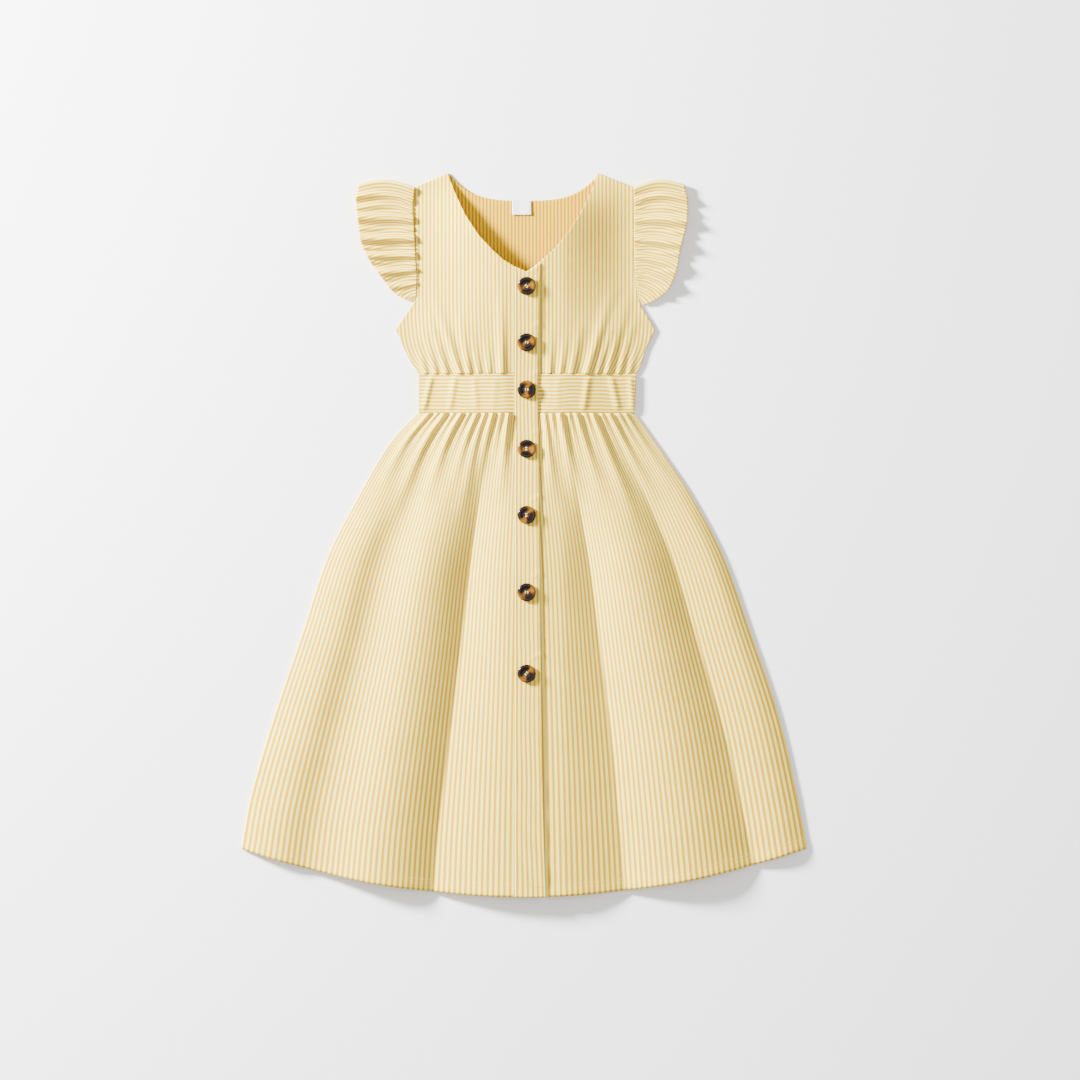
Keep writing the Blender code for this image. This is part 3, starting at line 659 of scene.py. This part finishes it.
def tortoiseshell(number, centre, turn):
    """Dark brown resin, its own colour, with two amber wedges that meet in the middle, a painted shine."""
    made = bpy.data.materials.new(f"Tortoiseshell {number}")
    made.use_nodes = True
    tree = made.node_tree
    add = node_maker(tree)
    link = tree.links.new
    shader = tree.nodes["Principled BSDF"]
    shader.inputs["Roughness"].default_value = 0.16
    shader.inputs["Coat Weight"].default_value = 0.12
    shader.inputs["Specular IOR Level"].default_value = 0.2
    shader.inputs["Coat Roughness"].default_value = 0.05
    coordinates = add("ShaderNodeTexCoord")
    local = add("ShaderNodeVectorMath", operation="SUBTRACT")
    link(coordinates.outputs["Object"], local.inputs[0])
    local.inputs[1].default_value = centre
    noise = add("ShaderNodeTexNoise")
    noise.inputs["Scale"].default_value = 160
    noise.inputs["Detail"].default_value = 3
    link(local.outputs[0], noise.inputs["Vector"])
    parts = add("ShaderNodeSeparateXYZ")
    link(local.outputs[0], parts.inputs[0])
    angle = maths(tree, "ARCTAN2", parts.outputs[1], parts.outputs[0])
    swirl = maths(tree, "MULTIPLY", maths(tree, "SUBTRACT", noise.outputs["Fac"], 0.5), 1.6)
    stirred = maths(tree, "ADD", angle, swirl)
    turned = maths(tree, "SUBTRACT", stirred, math.radians(turn))
    # the two amber wedges are a painted shine laid over the resin's own dark brown
    painted_shine = maths(tree, "COSINE", maths(tree, "MULTIPLY", turned, 2.0))
    ramp = add("ShaderNodeValToRGB")
    link(maths(tree, "ADD", maths(tree, "MULTIPLY", painted_shine, 0.5), 0.5), ramp.inputs[0])
    stops = ((0.0, (0.004, 0.001, 0.0005)), (0.52, (0.008, 0.002, 0.0006)), (0.66, (0.04, 0.012, 0.001)),
             (0.84, (0.11, 0.042, 0.002)), (1.0, (0.15, 0.062, 0.003)))
    while len(ramp.color_ramp.elements) < len(stops):
        ramp.color_ramp.elements.new(0.5)
    for element, (place, colour) in zip(ramp.color_ramp.elements, stops):
        element.position = place
        element.color = (*colour, 1)
    link(ramp.outputs[0], shader.inputs["Base Color"])
    return made


def thread_material(name, colour):
    made = bpy.data.materials.new(name)
    made.use_nodes = True
    tree = made.node_tree
    add = node_maker(tree)
    shader = tree.nodes["Principled BSDF"]
    shader.inputs["Roughness"].default_value = 0.6
    shader.inputs["Sheen Weight"].default_value = 0.4
    noise = add("ShaderNodeTexNoise")
    noise.inputs["Scale"].default_value = 2500
    coordinates = add("ShaderNodeTexCoord")
    tree.links.new(coordinates.outputs["Object"], noise.inputs["Vector"])
    tint = add("ShaderNodeMix", data_type="RGBA")
    tree.links.new(noise.outputs["Fac"], tint.inputs["Factor"])
    tint.inputs["A"].default_value = (*[c * 0.85 for c in colour], 1)
    tint.inputs["B"].default_value = (*colour, 1)
    tree.links.new(tint.outputs["Result"], shader.inputs["Base Color"])
    return made


BUTTON_PROFILE = (
    (0.00, 1.55), (0.20, 1.50), (0.40, 1.62), (0.52, 1.95), (0.64, 2.55), (0.74, 2.90), (0.83, 2.98),
    (0.91, 2.75), (0.97, 2.20), (1.00, 1.60), (0.99, 0.90), (0.95, 0.30), (0.88, 0.00), (0.00, 0.00),
)
BUTTON_TURNS = (15, 25, 88, 0, 60, 30, 48)  # direction of each button's amber wedges of painted shine, in degrees


def button_blank():
    """A dished button with four holes, about its own middle, in metres."""
    bm = bmesh.new()
    steps = 72
    rings = []
    for share, z in BUTTON_PROFILE:
        if share == 0:
            rings.append([bm.verts.new((0, 0, z * MM))])
            continue
        ring = []
        for k in range(steps):
            a = math.tau * k / steps
            r = share * BUTTON_RADIUS * MM
            ring.append(bm.verts.new((r * math.cos(a), r * math.sin(a), z * MM)))
        rings.append(ring)
    for upper, lower in zip(rings, rings[1:]):
        for k in range(steps):
            n = (k + 1) % steps
            if len(upper) == 1:
                bm.faces.new((upper[0], lower[k], lower[n]))
            elif len(lower) == 1:
                bm.faces.new((upper[n], upper[k], lower[0]))
            else:
                bm.faces.new((upper[k], lower[k], lower[n], upper[n]))
    mesh = bpy.data.meshes.new("button_blank")
    bm.to_mesh(mesh)
    bm.free()
    blank = bpy.data.objects.new("button_blank", mesh)
    bpy.context.scene.collection.objects.link(blank)
    cutters = []
    for k in range(4):
        a = math.radians(45 + 90 * k)
        bpy.ops.mesh.primitive_cylinder_add(vertices=20, radius=0.95 * MM, depth=10 * MM)
        cutter = bpy.context.object
        cutter.location = (1.75 * MM * math.cos(a), 1.75 * MM * math.sin(a), 0)
        hole = blank.modifiers.new("Hole", "BOOLEAN")
        hole.object = cutter
        cutters.append(cutter)
    plain_mesh(blank)
    for cutter in cutters:
        bpy.data.objects.remove(cutter)
    finished = blank.data
    bpy.data.objects.remove(blank)
    return finished


def make_buttons():
    blank = button_blank()
    thread = thread_material("Button thread", (0.80, 0.50, 0.08))
    for number, (y, turn) in enumerate(zip(BUTTON_Y, BUTTON_TURNS), start=1):
        near, far = (float(front_height(BAND_MIDDLE, y + d)[0]) for d in (-BUTTON_RADIUS, BUTTON_RADIUS))
        tilt = math.atan2(far - near, 2 * BUTTON_RADIUS)
        centre = Vector((BUTTON_X, y, (near + far) / 2 + 2.0)) * MM
        spin = Matrix.Rotation(math.radians(turn * 3), 4, "Z")
        place = Matrix.Translation(centre) @ Matrix.Rotation(tilt, 4, "X") @ spin
        mesh = blank.copy()
        mesh.transform(place)
        mesh.materials.clear()
        mesh.materials.append(tortoiseshell(number, centre, turn))
        mesh.shade_smooth()
        mesh.set_sharp_from_angle(angle=math.radians(50))
        button = bpy.data.objects.new(f"shell_button_{number}", mesh)
        bpy.context.scene.collection.objects.link(button)
        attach(button, "root")
        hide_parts(f"button_{number}")
        # two runs of thread from hole to hole, three strands each
        bm = bmesh.new()
        for run in (-1, 1):
            for strand in (-1, 0, 1):
                made = bmesh.ops.create_cone(
                    bm, cap_ends=True, segments=8, radius1=0.22 * MM, radius2=0.22 * MM, depth=2.7 * MM,
                    matrix=Matrix.Translation(Vector((0, (run * 1.24 + strand * 0.3) * MM, 1.75 * MM)))
                    @ Matrix.Rotation(math.radians(90), 4, "Y"),
                )
        mesh = bpy.data.meshes.new(f"button_thread_{number}")
        bm.to_mesh(mesh)
        bm.free()
        mesh.transform(place)
        mesh.shade_smooth()
        mesh.materials.append(thread)
        strands = bpy.data.objects.new(f"button_thread_{number}", mesh)
        bpy.context.scene.collection.objects.link(strands)
        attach(strands, "root")


def stitch_tree(thread):
    """Stitches along an edge: pitch and stitch length are inputs."""
    tree = bpy.data.node_groups.new("Stitching", "GeometryNodeTree")
    face = tree.interface
    face.new_socket("Geometry", in_out="INPUT", socket_type="NodeSocketGeometry")
    pitch = face.new_socket("Stitch pitch", in_out="INPUT", socket_type="NodeSocketFloat")
    pitch.default_value = 2.6 * MM
    length = face.new_socket("Stitch length", in_out="INPUT", socket_type="NodeSocketFloat")
    length.default_value = 1.9 * MM
    face.new_socket("Geometry", in_out="OUTPUT", socket_type="NodeSocketGeometry")
    add = node_maker(tree)
    link = tree.links.new
    given, result = add("NodeGroupInput"), add("NodeGroupOutput")
    line = add("GeometryNodeMeshToCurve")
    even = add("GeometryNodeResampleCurve", mode="LENGTH")
    place = add("GeometryNodeInstanceOnPoints")
    stitch = add("GeometryNodeMeshCylinder")
    stitch.inputs["Vertices"].default_value = 6
    stitch.inputs["Radius"].default_value = 0.2 * MM
    direction = add("GeometryNodeInputTangent")
    turn = add("FunctionNodeAlignEulerToVector", axis="Z")
    real = add("GeometryNodeRealizeInstances")
    finish = add("GeometryNodeSetMaterial")
    finish.inputs["Material"].default_value = thread
    link(given.outputs["Geometry"], line.inputs["Mesh"])
    link(line.outputs[0], even.inputs["Curve"])
    link(given.outputs["Stitch pitch"], even.inputs["Length"])
    link(given.outputs["Stitch length"], stitch.inputs["Depth"])
    link(even.outputs[0], place.inputs["Points"])
    link(stitch.outputs["Mesh"], place.inputs["Instance"])
    link(direction.outputs[0], turn.inputs["Vector"])
    link(turn.outputs[0], place.inputs["Rotation"])
    link(place.outputs[0], real.inputs[0])
    link(real.outputs[0], finish.inputs["Geometry"])
    link(finish.outputs[0], result.inputs["Geometry"])
    return tree


def stitch_line(name, points, tree):
    mesh = bpy.data.meshes.new(name)
    mesh.from_pydata((points * MM).tolist(), [(k, k + 1) for k in range(len(points) - 1)], [])
    made = bpy.data.objects.new(name, mesh)
    bpy.context.scene.collection.objects.link(made)
    modifier = made.modifiers.new("Stitching", "NODES")
    modifier.node_group = tree
    plain_mesh(made)
    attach(made, "root")


def make_stitching():
    tree = stitch_tree(thread_material("Yellow thread", (0.90, 0.55, 0.03)))
    top = SHEET + 0.12
    band_face = BAND_LIFT + DOUBLE_SHEET + 0.1

    def hem_line(x):
        level = 1 - HEM_DEPTH / (WAIST_LOW - HEM_CENTRE)
        y = HEM_SIDE + (HEM_CENTRE - HEM_SIDE) * (1 - (x / HEM_HALF) ** 2) + HEM_DEPTH
        drop = np.where(x < 0, 0.0, lap_drop(x))
        return np.stack([x, y, skirt_height(x, level) - drop + top], axis=-1)

    stitch_line("hem_stitching_left", hem_line(np.linspace(4 - HEM_HALF, BAND_LEFT - 1, 160)), tree)
    stitch_line("hem_stitching_right", hem_line(np.linspace(26, HEM_HALF - 4, 160)), tree)
    x = np.linspace(BAND_LEFT + 1, 22, 16)
    z = front_height(BAND_MIDDLE, np.full_like(x, HEM_CENTRE + HEM_DEPTH)) + band_face
    stitch_line("hem_stitching_band", np.stack([x, HEM_CENTRE + HEM_DEPTH + 0 * x, z], axis=-1), tree)
    for label, x_of in (
        ("left", lambda y: np.full_like(y, BAND_LEFT + 1.6)),
        ("right", lambda y: through(BAND_RIGHT_EDGE, 1, y) - 1.6),
    ):
        y = np.linspace(PUCKER_Y, 286, 260)
        z = front_height(BAND_MIDDLE, y) + band_face
        stitch_line(f"band_stitching_{label}", np.stack([x_of(y), y, z], axis=-1), tree)
    for label, side, inner in (("left", -1, BAND_LEFT - 1), ("right", 1, 17.0)):
        for part, y in (("top", WAIST_TOP - 1.6), ("foot", WAIST_LOW + 1.6)):
            outer = float(straight((SKIRT_SIDES[0], BODICE_SIDES[0]), 1 if side < 0 else 2, y)) - side
            x = np.linspace(outer, inner, 90)
            drop = 0.0 if side < 0 else lap_drop(x)
            z = upper_height(x, np.full_like(x, y)) - drop + 2 * DOUBLE_SHEET + 0.25
            stitch_line(f"waistband_stitching_{part}_{label}", np.stack([x, 0 * x + y, z], axis=-1), tree)


# ---------------------------------------------------------------- stage


def make_stage():
    bpy.ops.mesh.primitive_plane_add(size=8)
    floor = bpy.context.object
    floor.name = "floor"
    floor.location = (0, 0, -0.0006)
    paint = bpy.data.materials.new("Floor")
    paint.use_nodes = True
    shader = paint.node_tree.nodes["Principled BSDF"]
    shader.inputs["Base Color"].default_value = (0.93, 0.93, 0.93, 1)
    shader.inputs["Roughness"].default_value = 0.9
    shader.inputs["Specular IOR Level"].default_value = 0.1
    floor.data.materials.append(paint)
    world = bpy.data.worlds.new("Studio")
    world.use_nodes = True
    world.node_tree.nodes["Background"].inputs[0].default_value = (1.0, 0.99, 0.97, 1)
    world.node_tree.nodes["Background"].inputs[1].default_value = 0.84
    bpy.context.scene.world = world

    def area_light(name, place, size, power):
        light = bpy.data.lights.new(name, "AREA")
        light.size = size
        light.energy = power
        made = bpy.data.objects.new(name, light)
        made.location = place
        made.rotation_euler = (-Vector(place)).to_track_quat("-Z", "Y").to_euler()
        bpy.context.scene.collection.objects.link(made)

    area_light("key", (-2.4, 1.3, 0.95), 0.5, 900)
    area_light("overhead", (0.3, 0.2, 3.0), 2.5, 45)


def make_camera():
    """Looking straight down, with the neck at the top, from far enough to keep the sides upright."""
    camera = bpy.data.cameras.new("camera")
    camera.lens = 121.2
    camera.sensor_width = 36
    made = bpy.data.objects.new("camera", camera)
    made.location = (0.0176, -0.006, 4.0)
    bpy.context.scene.collection.objects.link(made)
    bpy.context.scene.camera = made


def main():
    make_camera()
    outside = poplin("Striped poplin")
    # the back panels, seen only inside the neck, wear a darker, deeper amber copy of the same poplin: painted
    # shade
    painted_shade_back = poplin("Striped poplin back, painted shade", white=(0.84, 0.53, 0.02), yellow=(0.50, 0.24, 0.0))
    make_back(painted_shade_back)
    make_skirt_front("front_skirt_left", "skirt_front_left", True, outside)
    make_skirt_front("front_skirt_right", "skirt_front_right", False, outside)
    make_bodice_front("front_bodice_left", "bodice_front_left", True, outside)
    make_bodice_front("front_bodice_right", "bodice_front_right", False, outside)
    make_waistband("front_waistband_left", "waistband_front_left", True, outside)
    make_waistband("front_waistband_right", "waistband_front_right", False, outside)
    make_button_band(outside)
    make_ruffle("flutter_sleeve_left", "sleeve_left", -1, outside)
    make_ruffle("flutter_sleeve_right", "sleeve_right", 1, outside)
    make_label()
    make_buttons()
    make_stitching()
    make_stage()


main()
